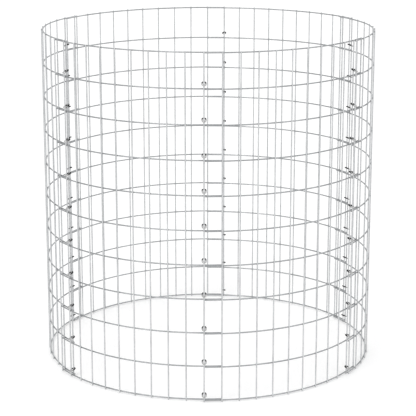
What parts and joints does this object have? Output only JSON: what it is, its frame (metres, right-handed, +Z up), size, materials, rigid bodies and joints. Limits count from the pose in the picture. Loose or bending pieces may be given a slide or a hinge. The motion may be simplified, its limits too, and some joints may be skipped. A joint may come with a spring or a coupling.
{
  "type": "leaf composter bin",
  "caption": "Open round compost bin for leaves: curved panels of welded steel mesh that overlap at their seams, laced together with rings that act as hinges.",
  "frame": {"origin": "middle of the bin at ground level, where the uprights' lower ends stand", "axes": "+Z up along the bin's axis, the front seam at -Y, +X to the right seen from the front"},
  "size_m": [1.004, 1.0181, 1.008],
  "materials": {
    "upright_wire": "galvanised, satin",
    "hoop_wire": "galvanised, satin",
    "seam_ring": "dark zinc, satin"
  },
  "bodies": {
    "front_right_panel": {"front_right_top_hoop": "hoop_wire", "front_right_middle_hoops": "hoop_wire", "front_right_bottom_hoop": "hoop_wire", "front_right_start_upright": "upright_wire", "front_right_middle_uprights": "upright_wire", "front_right_end_upright": "upright_wire", "front_seam_rings": "seam_ring", "front_right_seam_rings": "seam_ring"},
    "right_panel": {"right_top_hoop": "hoop_wire", "right_middle_hoops": "hoop_wire", "right_bottom_hoop": "hoop_wire", "right_start_upright": "upright_wire", "right_middle_uprights": "upright_wire", "right_end_upright": "upright_wire", "back_right_seam_rings": "seam_ring"},
    "back_right_panel": {"back_right_top_hoop": "hoop_wire", "back_right_middle_hoops": "hoop_wire", "back_right_bottom_hoop": "hoop_wire", "back_right_start_upright": "upright_wire", "back_right_middle_uprights": "upright_wire", "back_right_end_upright": "upright_wire", "back_seam_rings": "seam_ring"},
    "back_left_panel": {"back_left_top_hoop": "hoop_wire", "back_left_middle_hoops": "hoop_wire", "back_left_bottom_hoop": "hoop_wire", "back_left_start_upright": "upright_wire", "back_left_middle_uprights": "upright_wire", "back_left_end_upright": "upright_wire"},
    "left_panel": {"left_top_hoop": "hoop_wire", "left_middle_hoops": "hoop_wire", "left_bottom_hoop": "hoop_wire", "left_start_upright": "upright_wire", "left_middle_uprights": "upright_wire", "left_end_upright": "upright_wire", "back_left_seam_rings": "seam_ring"},
    "front_left_panel": {"front_left_top_hoop": "hoop_wire", "front_left_middle_hoops": "hoop_wire", "front_left_bottom_hoop": "hoop_wire", "front_left_start_upright": "upright_wire", "front_left_middle_uprights": "upright_wire", "front_left_end_upright": "upright_wire", "front_left_seam_rings": "seam_ring"}
  },
  "joints": [
    {"name": "back_seam_hinge", "type": "hinge", "parent": "back_left_panel", "child": "back_right_panel", "pos_m": [0.05049, 0.50209, 0], "axis": [0, 0, 1], "range_deg": [0, 120]},
    {"name": "back_right_seam_hinge", "type": "hinge", "parent": "back_right_panel", "child": "right_panel", "pos_m": [0.45289, 0.22259, 0], "axis": [0, 0, 1], "range_deg": [0, 120]},
    {"name": "front_right_seam_hinge", "type": "hinge", "parent": "right_panel", "child": "front_right_panel", "pos_m": [0.42408, -0.27351, 0], "axis": [0, 0, 1], "range_deg": [0, 160], "deforming": ["front_seam_rings"]},
    {"name": "back_left_seam_hinge", "type": "hinge", "parent": "back_left_panel", "child": "left_panel", "pos_m": [-0.44624, 0.2153, 0], "axis": [0, 0, 1], "range_deg": [0, 50]},
    {"name": "front_left_seam_hinge", "type": "hinge", "parent": "left_panel", "child": "front_left_panel", "pos_m": [-0.39972, -0.29277, 0], "axis": [0, 0, 1], "range_deg": [0, 60]}
  ]
}
